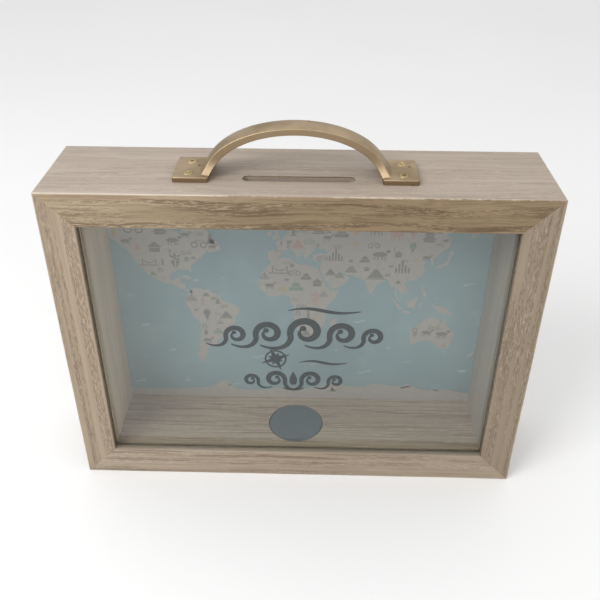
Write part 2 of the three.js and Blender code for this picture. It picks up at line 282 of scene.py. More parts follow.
def new_material(name, **shader):
    """A material with its Principled shader. Constant values go on the shader's own sockets."""
    material = bpy.data.materials.new(name)
    material.use_nodes = True
    tree = material.node_tree
    principled = tree.nodes["Principled BSDF"]
    for key, value in shader.items():
        principled.inputs[key.replace("_", " ")].default_value = value
    place = put(tree, "TexCoord").outputs["Object"]
    return material, tree, principled, place


def bumped(tree, principled, height, relief, strength):
    """Relief is in mm."""
    bump = put(tree, "Bump", Height=height, Distance=relief * MM, Strength=strength)
    feed(tree, principled, Normal=bump.outputs["Normal"])


def feed(tree, principled, **inputs):
    wire(tree, principled, inputs)


# ---------- Shared effects ----------

def oak_grain_group():
    """Limed oak with its grain along the vector's X: wavy year lines, bands of short pores, soft tone, and pale
    flecks in the bands as painted highlights on embossed pores.
    """
    tree, given, out = new_group(
        "oak grain",
        [("Vector", "v", None), ("Light", "c", None), ("Dark", "c", None), ("Pore", "c", None),
         ("Lines", "f", 1.0), ("Pores", "f", 1.0), ("Wave", "f", 0.004), ("Band Size", "f", 0.006),
         ("Band Cut", "f", 0.55)],
        [("Color", "c"), ("Height", "f"), ("Roughness", "f")],
    )

    def grain(vector, along, across, place=(0, 0, 0), detail=2.0, roughness=0.5):
        return noise_of(tree, stretched(tree, vector, along, across, across, place), 1.0, detail, roughness)

    swell = put(tree, "TexNoise", Vector=stretched(tree, given["Vector"], 16, 34, 34), Scale=1.0, Detail=2.0)
    centred = vector_of(tree, "SUBTRACT", swell.outputs["Color"], (0.5, 0.5, 0.5))
    across_only = vector_of(tree, "MULTIPLY", centred, (0, 1, 1))
    push = put(tree, "VectorMath", {"operation": "SCALE"}, i0=across_only, Scale=given["Wave"]).outputs[0]
    wavy = vector_of(tree, "ADD", given["Vector"], push)
    x, y, z = axes(tree, wavy)
    band_place = math_of(tree, "DIVIDE", times(tree, y, 0.78, times(tree, z, 0.94)), given["Band Size"])
    rings = put(tree, "TexNoise", {"noise_dimensions": "1D"}, W=band_place, Scale=1.0, Detail=1.0)
    rings = times(tree, rings.outputs["Fac"], 0.6)
    bands = times(tree, grain(wavy, 14, 120, (0.2, 0.6, 0.4)), 0.4, rings)
    band = ramp(tree, bands, given["Band Cut"], math_of(tree, "ADD", given["Band Cut"], 0.08))
    long_lines = ramp(tree, grain(wavy, 16, 1150, (0.3, 0.1, 0.7), 3.0, 0.6), 0.53, 0.572)
    line = times(tree, times(tree, long_lines, given["Lines"]), times(tree, band, 0.62, 0.38))
    short_pores = ramp(tree, grain(wavy, 260, 1700, (0.8, 0.5, 0.3), 1.0), 0.50, 0.62)
    fine_pores = ramp(tree, grain(wavy, 480, 2600, detail=1.0), 0.54, 0.66)
    pore = times(tree, math_of(tree, "MAXIMUM", short_pores, fine_pores), given["Pores"])
    dark = math_of(tree, "MAXIMUM", line, times(tree, pore, times(tree, band, 0.95, 0.05)))
    tone = ramp(tree, grain(wavy, 6, 75, (0.5, 0.2, 0.1), 3.0), 0.32, 0.7)
    streak = grain(wavy, 9, 420, (0.7, 0.3, 0.5))
    shade = times(tree, ramp(tree, streak, 0.38, 0.66), 0.45, times(tree, tone, 0.55))
    wood = mixed(tree, shade, given["Light"], given["Dark"])
    # Painted highlight: pale flecks in the bands, standing in for light on embossed pores.
    fleck_highlight = ramp(tree, grain(wavy, 190, 1500, (0.9, 0.4, 0.2)), 0.55, 0.66)
    wood = mixed(tree, times(tree, fleck_highlight, times(tree, band, 0.3)), wood, mixed(tree, 0.7, given["Light"], FLECK_HIGHLIGHT))
    tree.links.new(mixed(tree, times(tree, dark, 0.6), wood, given["Pore"]), out["Color"])
    tree.links.new(math_of(tree, "SUBTRACT", times(tree, streak, 0.15), dark), out["Height"])
    tree.links.new(times(tree, dark, 0.2, 0.48), out["Roughness"])
    return tree


def edge_sheen_and_wear_group():
    """Painted highlight with some rubbed wear along the outer edges of a box: a mask along them, broken up by
    noise.
    """
    tree, given, out = new_group(
        "edge sheen and wear",
        [("Vector", "v", None), ("Centre", "v", None), ("Half Size", "v", None), ("Width", "f", 0.0006),
         ("Gaps", "f", 0.5)],
        [("Mask", "f")],
    )
    off = vector_of(tree, "SUBTRACT", given["Vector"], given["Centre"])
    x, y, z = axes(tree, vector_of(tree, "SUBTRACT", given["Half Size"], vector_of(tree, "ABSOLUTE", off)))
    larger = math_of(tree, "MAXIMUM", x, y)
    middle = math_of(tree, "MAXIMUM", math_of(tree, "MINIMUM", x, y), math_of(tree, "MINIMUM", larger, z))
    near = without(tree, math_of(tree, "DIVIDE", middle, given["Width"]))
    long_gaps = noise_of(tree, given["Vector"], scale=16.0, detail=3.0)
    fine_breaks = noise_of(tree, given["Vector"], scale=420.0, detail=2.0)
    kept = times(tree, fine_breaks, 0.35, math_of(tree, "SUBTRACT", long_gaps, given["Gaps"]))
    tree.links.new(times(tree, ramp(tree, near, 0.0, 0.8), ramp(tree, kept, 0.08, 0.3)), out["Mask"])
    return tree


def speckle_group():
    """Fine specks, smudges and scratches for moulded, cast and plated surfaces."""
    tree, given, out = new_group(
        "specks and smudges",
        [("Vector", "v", None), ("Grain Scale", "f", 900.0), ("Smudge Scale", "f", 60.0)],
        [("Grain", "f"), ("Smudge", "f"), ("Pits", "f"), ("Scratches", "f")],
    )
    vector = given["Vector"]
    cells = put(tree, "TexVoronoi", Vector=vector, Scale=times(tree, given["Grain Scale"], 0.35)).outputs
    pits = without(tree, ramp(tree, cells["Distance"], 0.05, 0.22))
    chance = ramp(tree, put(tree, "SeparateColor", Color=cells["Color"]).outputs["Red"], 0.72, 0.78)
    lines = noise_of(tree, stretched(tree, vector, 90, 2600, 1400), detail=1.0)
    tree.links.new(noise_of(tree, vector, given["Grain Scale"], 3.0), out["Grain"])
    tree.links.new(noise_of(tree, vector, given["Smudge Scale"], 4.0), out["Smudge"])
    tree.links.new(times(tree, pits, chance), out["Pits"])
    tree.links.new(ramp(tree, lines, 0.62, 0.70), out["Scratches"])
    return tree


FLECK_HIGHLIGHT = tint(222, 210, 192)
oak_grain = oak_grain_group()
edge_sheen_and_wear = edge_sheen_and_wear_group()
specks = speckle_group()


# ---------- Materials ----------

def oak_material(name, light, dark, place_in_log, upright=False, lines=1.0, pores=1.0, wave=4.0, band=6.0,
                 band_cut=0.5, up_lit_light=None, up_lit_dark=None, relief=0.16, shade_to_right=0.0):
    """Limed oak wrap with its grain along X, or along Z on an upright piece. Its upper faces are painted paler
    as light from above, with quieter grain, and painted shade deepens its colour toward the right. Wave, band
    and relief are in mm."""
    material, tree, principled, place = new_material(name, Specular_IOR_Level=0.42)
    turn = Euler((0, math.radians(90), 0)) if upright else Euler((0, 0, 0))
    turned = put(tree, "Mapping", Vector=place, Rotation=turn, Location=place_in_log).outputs["Vector"]
    x, y, z = axes(tree, place)
    facing_up_lit_quiet = 0.0
    # Painted light: faces turned up get paler colours, as if lit from above, and quieter grain.
    if up_lit_light:
        facing_up_lit_quiet = ramp(tree, axes(tree, put(tree, "TexCoord").outputs["Normal"])["Z"], 0.6, 0.9)
        light = mixed(tree, facing_up_lit_quiet, light, up_lit_light)
        dark = mixed(tree, facing_up_lit_quiet, dark, up_lit_dark)
    made = use_group(
        tree, oak_grain, Vector=turned, Light=light, Dark=dark, Pore=tint(98, 78, 58),
        Lines=times(tree, facing_up_lit_quiet, -0.7 * lines, lines), Pores=times(tree, facing_up_lit_quiet, -0.75 * pores, pores),
        Wave=wave * MM, Band_Size=band * MM, Band_Cut=band_cut,
    )
    colour = made["Color"]
    # Painted shade: the colour darkens toward the right, less on faces turned up.
    if shade_to_right:
        painted_shade_right = times(tree, ramp(tree, x, -100 * MM, 20 * MM), times(tree, facing_up_lit_quiet, -0.8 * shade_to_right, shade_to_right))
        colour = mixed(tree, painted_shade_right, colour, tint(212, 205, 191), "MULTIPLY")
    if name == "oak top":
        # The walls inside the coin slot get a darker, greyer colour.
        along, aside = (math_of(tree, "ABSOLUTE", v) for v in (x, math_of(tree, "SUBTRACT", y, SLOT_Y)))
        along = ramp(tree, along, SLOT_HALF_LENGTH + 0.2 * MM, SLOT_HALF_LENGTH + 0.7 * MM)
        beside = ramp(tree, aside, SLOT_HALF_WIDTH + 0.1 * MM, SLOT_HALF_WIDTH + 0.5 * MM)
        above = ramp(tree, z, case_top - 0.7 * MM, case_top - 0.3 * MM)
        in_slot = times(tree, times(tree, without(tree, along), without(tree, beside)), without(tree, above))
        colour = mixed(tree, in_slot, colour, tint(157, 142, 129))
    # Painted highlight, partly rubbed wear: a pale line along the case's outer edges.
    wear_and_sheen = use_group(
        tree, edge_sheen_and_wear, Vector=place, Centre=(case_low + case_high) / 2,
        Half_Size=(case_high - case_low) / 2, Width=0.8 * MM, Gaps=0.47,
    )["Mask"]
    colour = mixed(tree, times(tree, wear_and_sheen, 0.6), colour, tint(222, 210, 194))
    feed(tree, principled, Base_Color=colour, Roughness=made["Roughness"])
    bumped(tree, principled, made["Height"], relief, 0.8)
    return material


def brass_material(name, light, dark, roughness, scale=900.0):
    """Antique brass: smudged and pitted, with painted light on its upper faces and painted shade on its sides.
    """
    material, tree, principled, place = new_material(name, Metallic=1.0)
    marks = use_group(tree, specks, Vector=place, Grain_Scale=scale, Smudge_Scale=55.0)
    up = axes(tree, put(tree, "TexCoord").outputs["Normal"])["Z"]
    # Painted shade on the sides and painted light on faces turned up.
    shaded_side = mixed(tree, 0.42, dark, tint(120, 102, 82))
    colour = mixed(tree, ramp(tree, marks["Smudge"], 0.38, 0.64), light, dark)
    colour = mixed(tree, ramp(tree, up, 0.05, 0.5), shaded_side, colour)
    colour = mixed(tree, times(tree, marks["Pits"], 0.8), colour, tint(70, 56, 40))
    feed(tree, principled, Base_Color=colour, Roughness=times(tree, marks["Smudge"], 0.25, roughness))
    height = math_of(tree, "SUBTRACT", times(tree, marks["Grain"], 0.35), marks["Pits"])
    bumped(tree, principled, height, 0.12, 0.6)
    return material


def steel_material():
    material, tree, principled, place = new_material("zinc plated steel", Metallic=1.0)
    marks = use_group(tree, specks, Vector=place, Grain_Scale=1400.0, Smudge_Scale=140.0)
    colour = mixed(tree, ramp(tree, marks["Smudge"], 0.35, 0.65), tint(190, 190, 188), tint(150, 151, 152))
    colour = mixed(tree, times(tree, marks["Scratches"], 0.5), colour, tint(215, 215, 212))
    feed(tree, principled, Base_Color=colour, Roughness=times(tree, marks["Smudge"], 0.3, 0.22))
    bumped(tree, principled, marks["Scratches"], 0.02, 0.5)
    return material


def rubber_material():
    material, tree, principled, place = new_material("blue-grey rubber", Specular_IOR_Level=0.35)
    marks = use_group(tree, specks, Vector=place, Grain_Scale=2200.0, Smudge_Scale=90.0)
    colour = mixed(tree, ramp(tree, marks["Smudge"], 0.3, 0.7), tint(80, 92, 96), tint(74, 85, 89))
    feed(tree, principled, Base_Color=colour, Roughness=times(tree, marks["Smudge"], 0.2, 0.55))
    bumped(tree, principled, marks["Grain"], 0.004, 0.3)
    return material


def hardboard_material():
    material, tree, principled, place = new_material("brown hardboard")
    fibres = noise_of(tree, stretched(tree, place, 380, 900, 1500), detail=4.0, roughness=0.7)
    shreds = noise_of(tree, stretched(tree, place, 1700, 900, 420, (0.4, 0.1, 0.2)), detail=3.0)
    clouds = ramp(tree, noise_of(tree, place, scale=22.0, detail=4.0), 0.4, 0.7)
    colour = mixed(tree, ramp(tree, fibres, 0.35, 0.65), tint(138, 104, 72), tint(112, 81, 54))
    colour = mixed(tree, ramp(tree, shreds, 0.60, 0.70), colour, tint(176, 142, 104))
    colour = mixed(tree, times(tree, clouds, 0.35), colour, tint(96, 70, 48))
    feed(tree, principled, Base_Color=colour, Roughness=times(tree, fibres, 0.25, 0.55))
    bumped(tree, principled, math_of(tree, "ADD", fibres, shreds), 0.08, 0.5)
    return material


def glass_material():
    """Clear picture glass. Shadow and diffuse rays pass straight through, so the inside is lit."""
    material, tree, principled, place = new_material(
        "picture glass", Base_Color=(0.97, 0.99, 0.985, 1), Transmission_Weight=1.0, IOR=1.5,
        Specular_IOR_Level=0.25,
    )
    haze = noise_of(tree, place, scale=26.0, detail=3.0)
    feed(tree, principled, Roughness=times(tree, ramp(tree, haze, 0.45, 0.75), 0.012))
    path = put(tree, "LightPath").outputs
    passing = math_of(tree, "MAXIMUM", path["Is Shadow Ray"], path["Is Diffuse Ray"])
    clear = put(tree, "BsdfTransparent", Color=(0.93, 0.95, 0.945, 1)).outputs[0]
    blend = put(tree, "MixShader", i0=passing, i1=principled.outputs[0], i2=clear).outputs[0]
    tree.links.new(blend, tree.nodes["Material Output"].inputs["Surface"])
    return material


def ink_material(name, colour, wear_and_sheen, level=0.3):
    """Printed ink with a slightly uneven lay."""
    material, tree, principled, place = new_material(name, Specular_IOR_Level=level)
    lay = noise_of(tree, place, scale=420.0, detail=3.0)
    broad = noise_of(tree, place, scale=35.0, detail=3.0)
    shade = times(tree, ramp(tree, lay, 0.3, 0.7), 0.45, times(tree, broad, 0.4))
    feed(tree, principled, Base_Color=mixed(tree, shade, colour, wear_and_sheen), Roughness=times(tree, lay, 0.15, 0.6))
    bumped(tree, principled, lay, 0.01, 0.3)
    return material


def sea_material():
    """The card's printed sea: muted blue with soft watercolour clouds and a fine paper tooth."""
    material, tree, principled, place = new_material("printed sea", Specular_IOR_Level=0.3)
    broad = noise_of(tree, place, scale=14.0, detail=4.0)
    wash = ramp(tree, noise_of(tree, place, scale=55.0, detail=5.0), 0.45, 0.8)
    tooth = noise_of(tree, place, scale=2400.0, detail=2.0)
    colour = mixed(tree, ramp(tree, broad, 0.3, 0.7), tint(128, 146, 149), tint(118, 136, 140))
    colour = mixed(tree, times(tree, wash, 0.35), colour, tint(150, 168, 168))
    colour = mixed(tree, times(tree, tooth, 0.06), colour, tint(112, 130, 134))
    feed(tree, principled, Base_Color=colour, Roughness=times(tree, tooth, 0.1, 0.62))
    bumped(tree, principled, tooth, 0.004, 0.3)
    return material


# Paler grain colours for faces turned up: painted light from above.
UP_LIT_COLOURS = {"up_lit_light": tint(176, 162, 146), "up_lit_dark": tint(158, 144, 128)}
STILE = {"upright": True, "lines": 0.35, "pores": 0.8, "wave": 1.6, "band": 4.6, "band_cut": 0.45,
         "relief": 0.2, **UP_LIT_COLOURS}
LINER_WALL = {"upright": True, "lines": 0.25, "pores": 0.1, "band": 8.0, "relief": 0.02}
oak_top = oak_material(
    "oak top", tint(168, 149, 123), tint(146, 127, 101), (0.11, 0.0, 0.02), lines=1.25, wave=7.0, band=5.0,
    band_cut=0.47, up_lit_light=tint(182, 169, 156), up_lit_dark=tint(164, 150, 137), shade_to_right=1.0)
oak_base = oak_material(
    "oak base", tint(172, 157, 139), tint(150, 134, 116), (0.43, 0.013, 0.006), lines=0.9, pores=0.5,
    wave=3.0, band=4.5, band_cut=0.45, shade_to_right=0.3, **UP_LIT_COLOURS)
# The two stiles share one oak; the right stile's copy is darker, as painted shade.
oak_left = oak_material(
    "oak left", tint(166, 149, 128), tint(145, 128, 107), (0.27, 0.31, 0.05), **STILE)
oak_right_shaded = oak_material(
    "oak right shaded", tint(149, 134, 115), tint(130, 114, 95), (0.61, 0.17, 0.09), **STILE)
liner_flat = oak_material(
    "liner oak", tint(170, 154, 138), tint(150, 134, 118), (0.83, 0.07, 0.03), pores=0.35, wave=2.5, band=5.0,
    band_cut=0.42, relief=0.02, shade_to_right=0.22)
# The liner's side walls share one oak: the left copy is paler, as painted reflected light, and the right copy
# darker, as painted shade.
liner_left_lit = oak_material(
    "liner oak left painted light", tint(204, 186, 164), tint(188, 170, 149), (0.19, 0.53, 0.07), **LINER_WALL)
liner_right_shaded = oak_material(
    "liner oak right painted shade", tint(152, 143, 132), tint(139, 130, 119), (0.39, 0.23, 0.17), **LINER_WALL)
antique_brass = brass_material("antique brass", tint(193, 171, 139), tint(164, 143, 113), 0.3, 520.0)
screw_brass = brass_material("screw brass", tint(208, 188, 142), tint(172, 150, 108), 0.2, 1600.0)
zinc_steel = steel_material()
blue_rubber = rubber_material()
hardboard = hardboard_material()
clear_glass = glass_material()
teal_ink = ink_material("teal ink", tint(14, 28, 30), tint(20, 36, 38), level=0.1)
sea_ink = sea_material()
land_ink = ink_material("land ink", tint(159, 152, 146), tint(149, 142, 137))
pale_ink = ink_material("pale ink", tint(154, 164, 163), tint(146, 157, 157))
picture_inks = {
    "grey": ink_material("grey ink", tint(112, 110, 104), tint(126, 123, 117)),
    "rose": ink_material("rose ink", tint(160, 128, 122), tint(164, 138, 132)),
    "sage": ink_material("sage ink", tint(112, 128, 114), tint(126, 138, 126)),
    "ochre": ink_material("ochre ink", tint(158, 138, 108), tint(164, 146, 120)),
}


# ---------- Case ----------

def on_case_outside(edge):
    """Edges of the case's outer faces, of its front lip and, less rounded, of the coin slot's rim."""
    def outer(vertex):
        x, y, z = vertex.co
        edges = (
            abs(abs(x) - case_high.x) < 0.3 * MM,
            min(abs(y - case_low.y), abs(y - case_high.y)) < 0.05 * MM,
            min(abs(z), abs(z - case_top)) < 0.3 * MM,
        )
        lip = y < glass_low.y and (
            abs(abs(x) - abs(window_left)) < 0.05 * MM
            or min(abs(z - window_base), abs(z - window_top)) < 0.05 * MM
        )
        return sum(edges) >= 2 or (lip and edges[1])

    def rim(vertex):
        x, y, z = vertex.co
        beside = abs(x) < SLOT_HALF_LENGTH + 2.5 * MM and abs(y - SLOT_Y) < SLOT_HALF_WIDTH + 0.3 * MM
        return beside and abs(z - case_top) < 0.01 * MM

    ends = edge.verts
    run = ends[0].co - ends[1].co
    if all(rim(v) for v in ends):
        return 0.4
    mitre = abs(run.x) > 5 * MM and abs(run.z) > 5 * MM
    return all(outer(v) for v in ends) and not mitre


MITRE_GAP = 0.065 * MM


def close_mitres(moulding, upright):
    """Brings a moulding's slanting ends up to the mitre line, so that the joint is a hairline."""
    mesh = bmesh.new()
    mesh.from_mesh(moulding.data)

    def is_mitre(face):
        slants = all(0.5 < abs(n) < 0.9 for n in (face.normal.x, face.normal.z))
        return slants and face.calc_area() > 50 * MM * MM

    slanting = {vertex for face in mesh.faces if is_mitre(face) for vertex in face.verts}
    middle = case_top / 2
    for vertex in slanting:
        if upright:
            vertex.co.z += math.copysign(MITRE_GAP, vertex.co.z - middle)
        else:
            vertex.co.x += math.copysign(MITRE_GAP, vertex.co.x)
    mesh.to_mesh(moulding.data)
    mesh.free()


def dress(node, name, material, width, edges=lambda edge: True, segments=2):
    """Gives a CAD node's own shape rounded edges, their width in mm, and its finish."""
    piece = node_copy(node)
    if edges is on_case_outside:
        close_mitres(piece, node in ("case_left", "case_right"))
    soften(piece, edges, width * MM, segments)
    finish_piece(piece, name, [node], material)


for side, material in (("top", oak_top), ("base", oak_base), ("left", oak_left), ("right", oak_right_shaded)):
    dress("case_" + side, f"case_{side}_oak", material, 0.5, on_case_outside, 3)
for side, material in (("base", liner_flat), ("top", liner_flat), ("left", liner_left_lit),
                       ("right", liner_right_shaded)):
    dress("liner_" + side, f"liner_{side}_oak", material, 0.12)
for node in sorted(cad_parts):
    if node.startswith(("back_tab", "corner_nail")):
        dress(node, node + "_steel", zinc_steel, 0.08)
dress("back_panel", "back_board", hardboard, 0.25)
dress("glass_pane", "picture_glass", clear_glass, 0.2, segments=1)
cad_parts["map_card"].data.materials.clear()
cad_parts["map_card"].data.materials.append(sea_ink)


# ---------- Flat prints ----------

def flat_solid(name, outlines, thickness):
    """One thin flat solid from closed outlines of (x, z) points. An outline inside another is a hole."""
    curve = bpy.data.curves.new(name, "CURVE")
    curve.dimensions = "2D"
    curve.fill_mode = "BOTH"
    curve.extrude = thickness / 2
    for outline in outlines:
        spline = curve.splines.new("POLY")
        spline.points.add(len(outline) - 1)
        for point, (x, z) in zip(spline.points, outline):
            point.co = (x, z, 0, 1)
        spline.use_cyclic_u = True
    return link(bpy.data.objects.new(name, curve))


def print_shapes(name, shapes, face_y, thickness, material, grow_front=True):
    """Printed shapes, each a list of outlines, as one piece of thin flat solids in the XZ plane."""
    deselect()
    solids = [flat_solid(name, outlines, thickness) for outlines in shapes]
    for solid in solids:
        solid.select_set(True)
    bpy.context.view_layer.objects.active = solids[0]
    bpy.ops.object.convert(target="MESH")
    if len(solids) > 1:
        bpy.ops.object.join()
    piece = bpy.context.view_layer.objects.active
    piece.rotation_euler = (math.radians(90), 0, 0)
    side = -1 if grow_front else 1
    piece.location = (0, face_y + side * thickness / 2, 0)
    settle(piece)
    edit(piece)
    choose_all()
    bpy.ops.mesh.remove_doubles(threshold=0.001 * MM)
    leave()
    return finish_piece(piece, name, [], material, level=False)


# Coastlines as (longitude, latitude), simplified to the points that each shape needs.
LANDS = {
    "north_america": [
        (-146.5, 70.5), (-128, 70), (-110, 68), (-96, 65), (-95, 58.5), (-90, 56), (-84, 54.5),
        (-81, 51.5), (-79, 54.5), (-77.5, 58), (-77, 62), (-70, 61.5), (-63, 59), (-57, 53.5),
        (-51.5, 48.5), (-48, 43.5), (-52, 42.3), (-57, 41.3), (-60, 43), (-63, 39.5), (-69.8, 34.5),
        (-74.5, 31), (-74, 25.5), (-77.5, 28.5), (-84, 28.5), (-90, 26.5), (-93.5, 23), (-93, 19.5),
        (-89, 18.5), (-86, 21), (-83.5, 20.5), (-84, 16.5), (-80.5, 14.5), (-80, 10.5), (-76.5, 9),
        (-73.6, 8.5), (-76, 7), (-80, 8.8), (-86, 12.5), (-94, 15.5), (-101, 17.5), (-106, 20.5),
        (-111, 24), (-118, 31.5), (-122, 37), (-126, 42), (-134, 47.5), (-146.5, 53)],
    "greenland": [
        (-52, 61), (-44, 60), (-40, 65), (-24, 70), (-20, 76), (-22, 82), (-40, 83), (-60, 81),
        (-68, 77), (-56, 73), (-53, 67)],
    "baffin": [(-62, 66), (-66, 62), (-74, 64), (-80, 70), (-90, 73), (-78, 74), (-68, 70)],
    "victoria": [(-117, 70), (-105, 69), (-104, 73), (-115, 73)],
    "ellesmere": [(-90, 77), (-78, 76), (-64, 81), (-70, 83), (-90, 81)],
    "newfoundland": [(-59, 47.6), (-53, 46.7), (-53, 49.5), (-57, 51)],
    "cuba": [(-85, 22), (-79, 23.2), (-74, 20.3), (-77, 19.8)],
    "hispaniola": [(-74, 18.3), (-69, 18.3), (-69, 19.8), (-73, 20)],
    "south_america": [
        (-77.5, 8), (-75, 11), (-71.5, 12), (-66, 10.5), (-61, 10.5), (-57, 6.5), (-51, 4.5),
        (-50, 0), (-44, -2.5), (-39, -3.5), (-35, -6), (-35, -9), (-39, -14), (-40, -20),
        (-45, -23.5), (-48.5, -27), (-53, -33), (-57.5, -35), (-57, -38), (-62, -39.5), (-65, -43),
        (-66, -47), (-69, -51), (-66, -55), (-71, -54), (-75, -49), (-73, -40), (-71.5, -32),
        (-70.3, -22), (-71, -18), (-76, -14), (-80, -6), (-81, -4), (-80, 0), (-77.5, 4)],
    "africa": [
        (-17.5, 21), (-17.5, 14.7), (-15, 10.5), (-12.5, 8), (-8, 4.5), (-2, 5), (4, 6.3), (9, 4),
        (9.5, -1), (13, -6), (12.5, -13), (14.5, -22.5), (18, -32), (19, -34.5), (25, -34),
        (30, -31), (35, -24), (40, -16), (39.5, -7), (42, -2), (48, 4), (51, 11.7), (43.5, 11.5),
        (38.5, 17), (34, 27), (32.5, 30.5), (25, 32.5), (20, 33.5), (15, 34), (11, 36), (9, 38.5),
        (0, 38), (-6, 36.5), (-9.5, 32), (-14, 28)],
    "madagascar": [(44, -17), (49.5, -13), (50, -16), (47, -24.5), (44, -24)],
    "eurasia": [
        (-9, 37), (-9, 43), (-2, 43.5), (-1, 46), (-4.5, 48.5), (2, 50.5), (5, 53), (9, 54.5),
        (8.5, 57), (10.5, 57.5), (11, 54.2), (19, 54.5), (22, 58), (29, 60), (22, 60.5), (21.5, 63),
        (25, 65.5), (22, 66), (17, 62), (18, 60), (16, 56.5), (12.5, 56), (11, 59), (6, 58), (5, 62),
        (14, 68), (25, 71), (40, 67), (33, 66.5), (38, 64), (44, 66), (44, 68.5), (54, 68.5),
        (68, 69), (72, 73), (80, 73), (98, 76.5), (112, 76), (114, 73.5), (130, 71.5), (140, 72.5),
        (160, 70), (178, 69), (180, 66), (178, 62.5), (171, 60), (163, 58.5), (162, 55), (157, 51.5),
        (156, 57), (163, 61), (154, 59.5), (142, 59), (136, 54.5), (141, 52.5), (140, 47.5),
        (132, 43), (127.5, 39.5), (129, 36), (126.5, 34.5), (126.5, 38), (121.5, 39.5), (118, 39),
        (122, 37), (119.5, 35), (122, 31), (120, 26), (114, 22.3), (108, 21.5), (106, 18.5),
        (109, 12.5), (105, 9), (102, 12.5), (100, 13.3), (99.3, 9.5), (103.5, 2), (101, 3.5),
        (98.3, 8), (98, 16), (94.5, 16.5), (91.5, 22.5), (87, 21), (80.5, 15.5), (80, 11),
        (77.5, 8), (73, 17), (72.5, 21), (68, 23.5), (62, 25.3), (57, 26), (51, 28), (48.5, 30),
        (51, 24.5), (56, 26), (59.5, 22.5), (55, 17.5), (45, 12.8), (43, 14), (39, 21), (35, 28.5),
        (34, 31), (36, 36.5), (30, 36.5), (27, 38), (29, 41), (35, 42), (41, 41.5), (38, 45),
        (33, 45), (30, 46), (28, 42.5), (24, 40.5), (23, 37), (19.5, 41), (14, 45), (18, 40.5),
        (16, 38.3), (12, 42.5), (8.5, 44.3), (3.5, 43), (0, 39.5), (-2, 37), (-5.5, 36.2)],
    "britain": [(-5, 50), (1, 51), (0, 53), (-2, 56), (-3, 58.5), (-6, 57), (-3, 54), (-4.5, 52)],
    "ireland": [(-10, 52), (-6, 52.3), (-6, 55), (-9.5, 54)],
    "iceland": [(-24, 65.5), (-18, 63.5), (-14, 65), (-18, 66.3)],
    "japan": [
        (130, 31.5), (131.5, 34), (136, 35.5), (140, 38.5), (140.2, 41.3), (141.5, 45.5), (144.5, 43.5),
        (142.5, 41.5), (142, 39.5), (140.5, 35.5), (136, 33.7)],
    "sri_lanka": [(80, 9.5), (81.8, 7.5), (80.3, 6)],
    "sumatra": [(95.5, 5.5), (99, 2.5), (104, -2.5), (105.5, -5.7), (102, -4), (98, 1)],
    "java": [(105.5, -6.8), (110, -6.3), (114, -7.6), (114, -8.9), (107, -7.9)],
    "borneo": [
        (109, 1.5), (113, 3.5), (117, 7), (119, 5), (117.5, 0.5), (116, -4), (111, -3), (109.5, -0.5)],
    "sulawesi": [(119.5, -5), (120.5, 0.5), (125, 1.5), (121, -0.8), (123, -4.5), (121, -3)],
    "new_guinea": [
        (131, -1), (137, -1.8), (144, -4), (147.5, -6.5), (150, -10.3), (144, -8), (138, -8), (134, -4)],
    "philippines": [(120.5, 18), (122, 18), (122, 14), (125, 11), (126, 7), (122, 7.5), (122, 11), (120, 14)],
    "australia": [
        (114, -22), (114, -26.5), (115.5, -34), (118, -35), (124, -33), (131, -31.5), (137, -35),
        (140.5, -38), (146.5, -39), (150, -37), (153, -31), (153, -25), (146, -19), (145, -15),
        (142.5, -11), (141, -16.5), (136, -12), (131, -12), (126, -14), (122, -18)],
    "tasmania": [(144.7, -40.8), (148.2, -41), (147, -43.5)],
    "new_zealand_north": [(173, -34.5), (178.5, -37.7), (175.5, -41.5), (174.5, -38.5)],
    "new_zealand_south": [(173, -40.7), (174, -42), (170.5, -46), (166.5, -46), (168, -44)],
}
ICE_SHORE = [  # height of the ice above the window's base, in mm, at even steps across the card
    5, 5.5, 5, 5.5, 6, 5.5, 6.5, 7, 9, 14, 6.5, 5.5, 6, 7, 8, 8.5, 8, 9, 11, 12, 10, 9.5, 13, 12, 11, 12.5,
    9, 8, 9.5, 8, 6.5, 6,
]
DEGREE_ACROSS = 0.68 * MM  # width on the card of one degree of longitude
DEGREE_UP = 0.69 * MM  # height on the card of one degree of latitude at the equator
NORTH_STRETCH = 0.00005 * MM  # times the cube of a northern latitude
SOUTH_DEGREE = 0.84 * MM  # height of one degree south of the equator
GREENWICH_X = -11.8 * MM
EQUATOR_Z = 92 * MM
CARD_MARGIN = 0.8 * MM


def on_card(longitude, latitude):
    if latitude < 0:
        rise = SOUTH_DEGREE * latitude
    else:
        rise = DEGREE_UP * latitude + NORTH_STRETCH * latitude ** 3
    return GREENWICH_X + longitude * DEGREE_ACROSS, EQUATOR_Z + rise


def rough_coast(corners, step=0.9 * MM):
    """An outline with its straight runs broken into a ragged coast, kept within the card."""
    coast = []
    wander = (0.7 if len(corners) > 30 else 0.4) * MM
    for (x0, z0), (x1, z1) in zip(corners, corners[1:] + corners[:1]):
        pieces = max(1, round(math.hypot(x1 - x0, z1 - z0) / step))
        for i in range(pieces):
            x, z = x0 + (x1 - x0) * i / pieces, z0 + (z1 - z0) * i / pieces
            push = noise.noise_vector(Vector((x * 600, z * 600, 3.7))) * wander
            x = min(max(x + push.x, card_low.x + CARD_MARGIN), card_high.x - CARD_MARGIN)
            z = min(max(z + push.y, card_low.z + CARD_MARGIN), card_high.z - CARD_MARGIN)
            coast.append((x, z))
    return coast


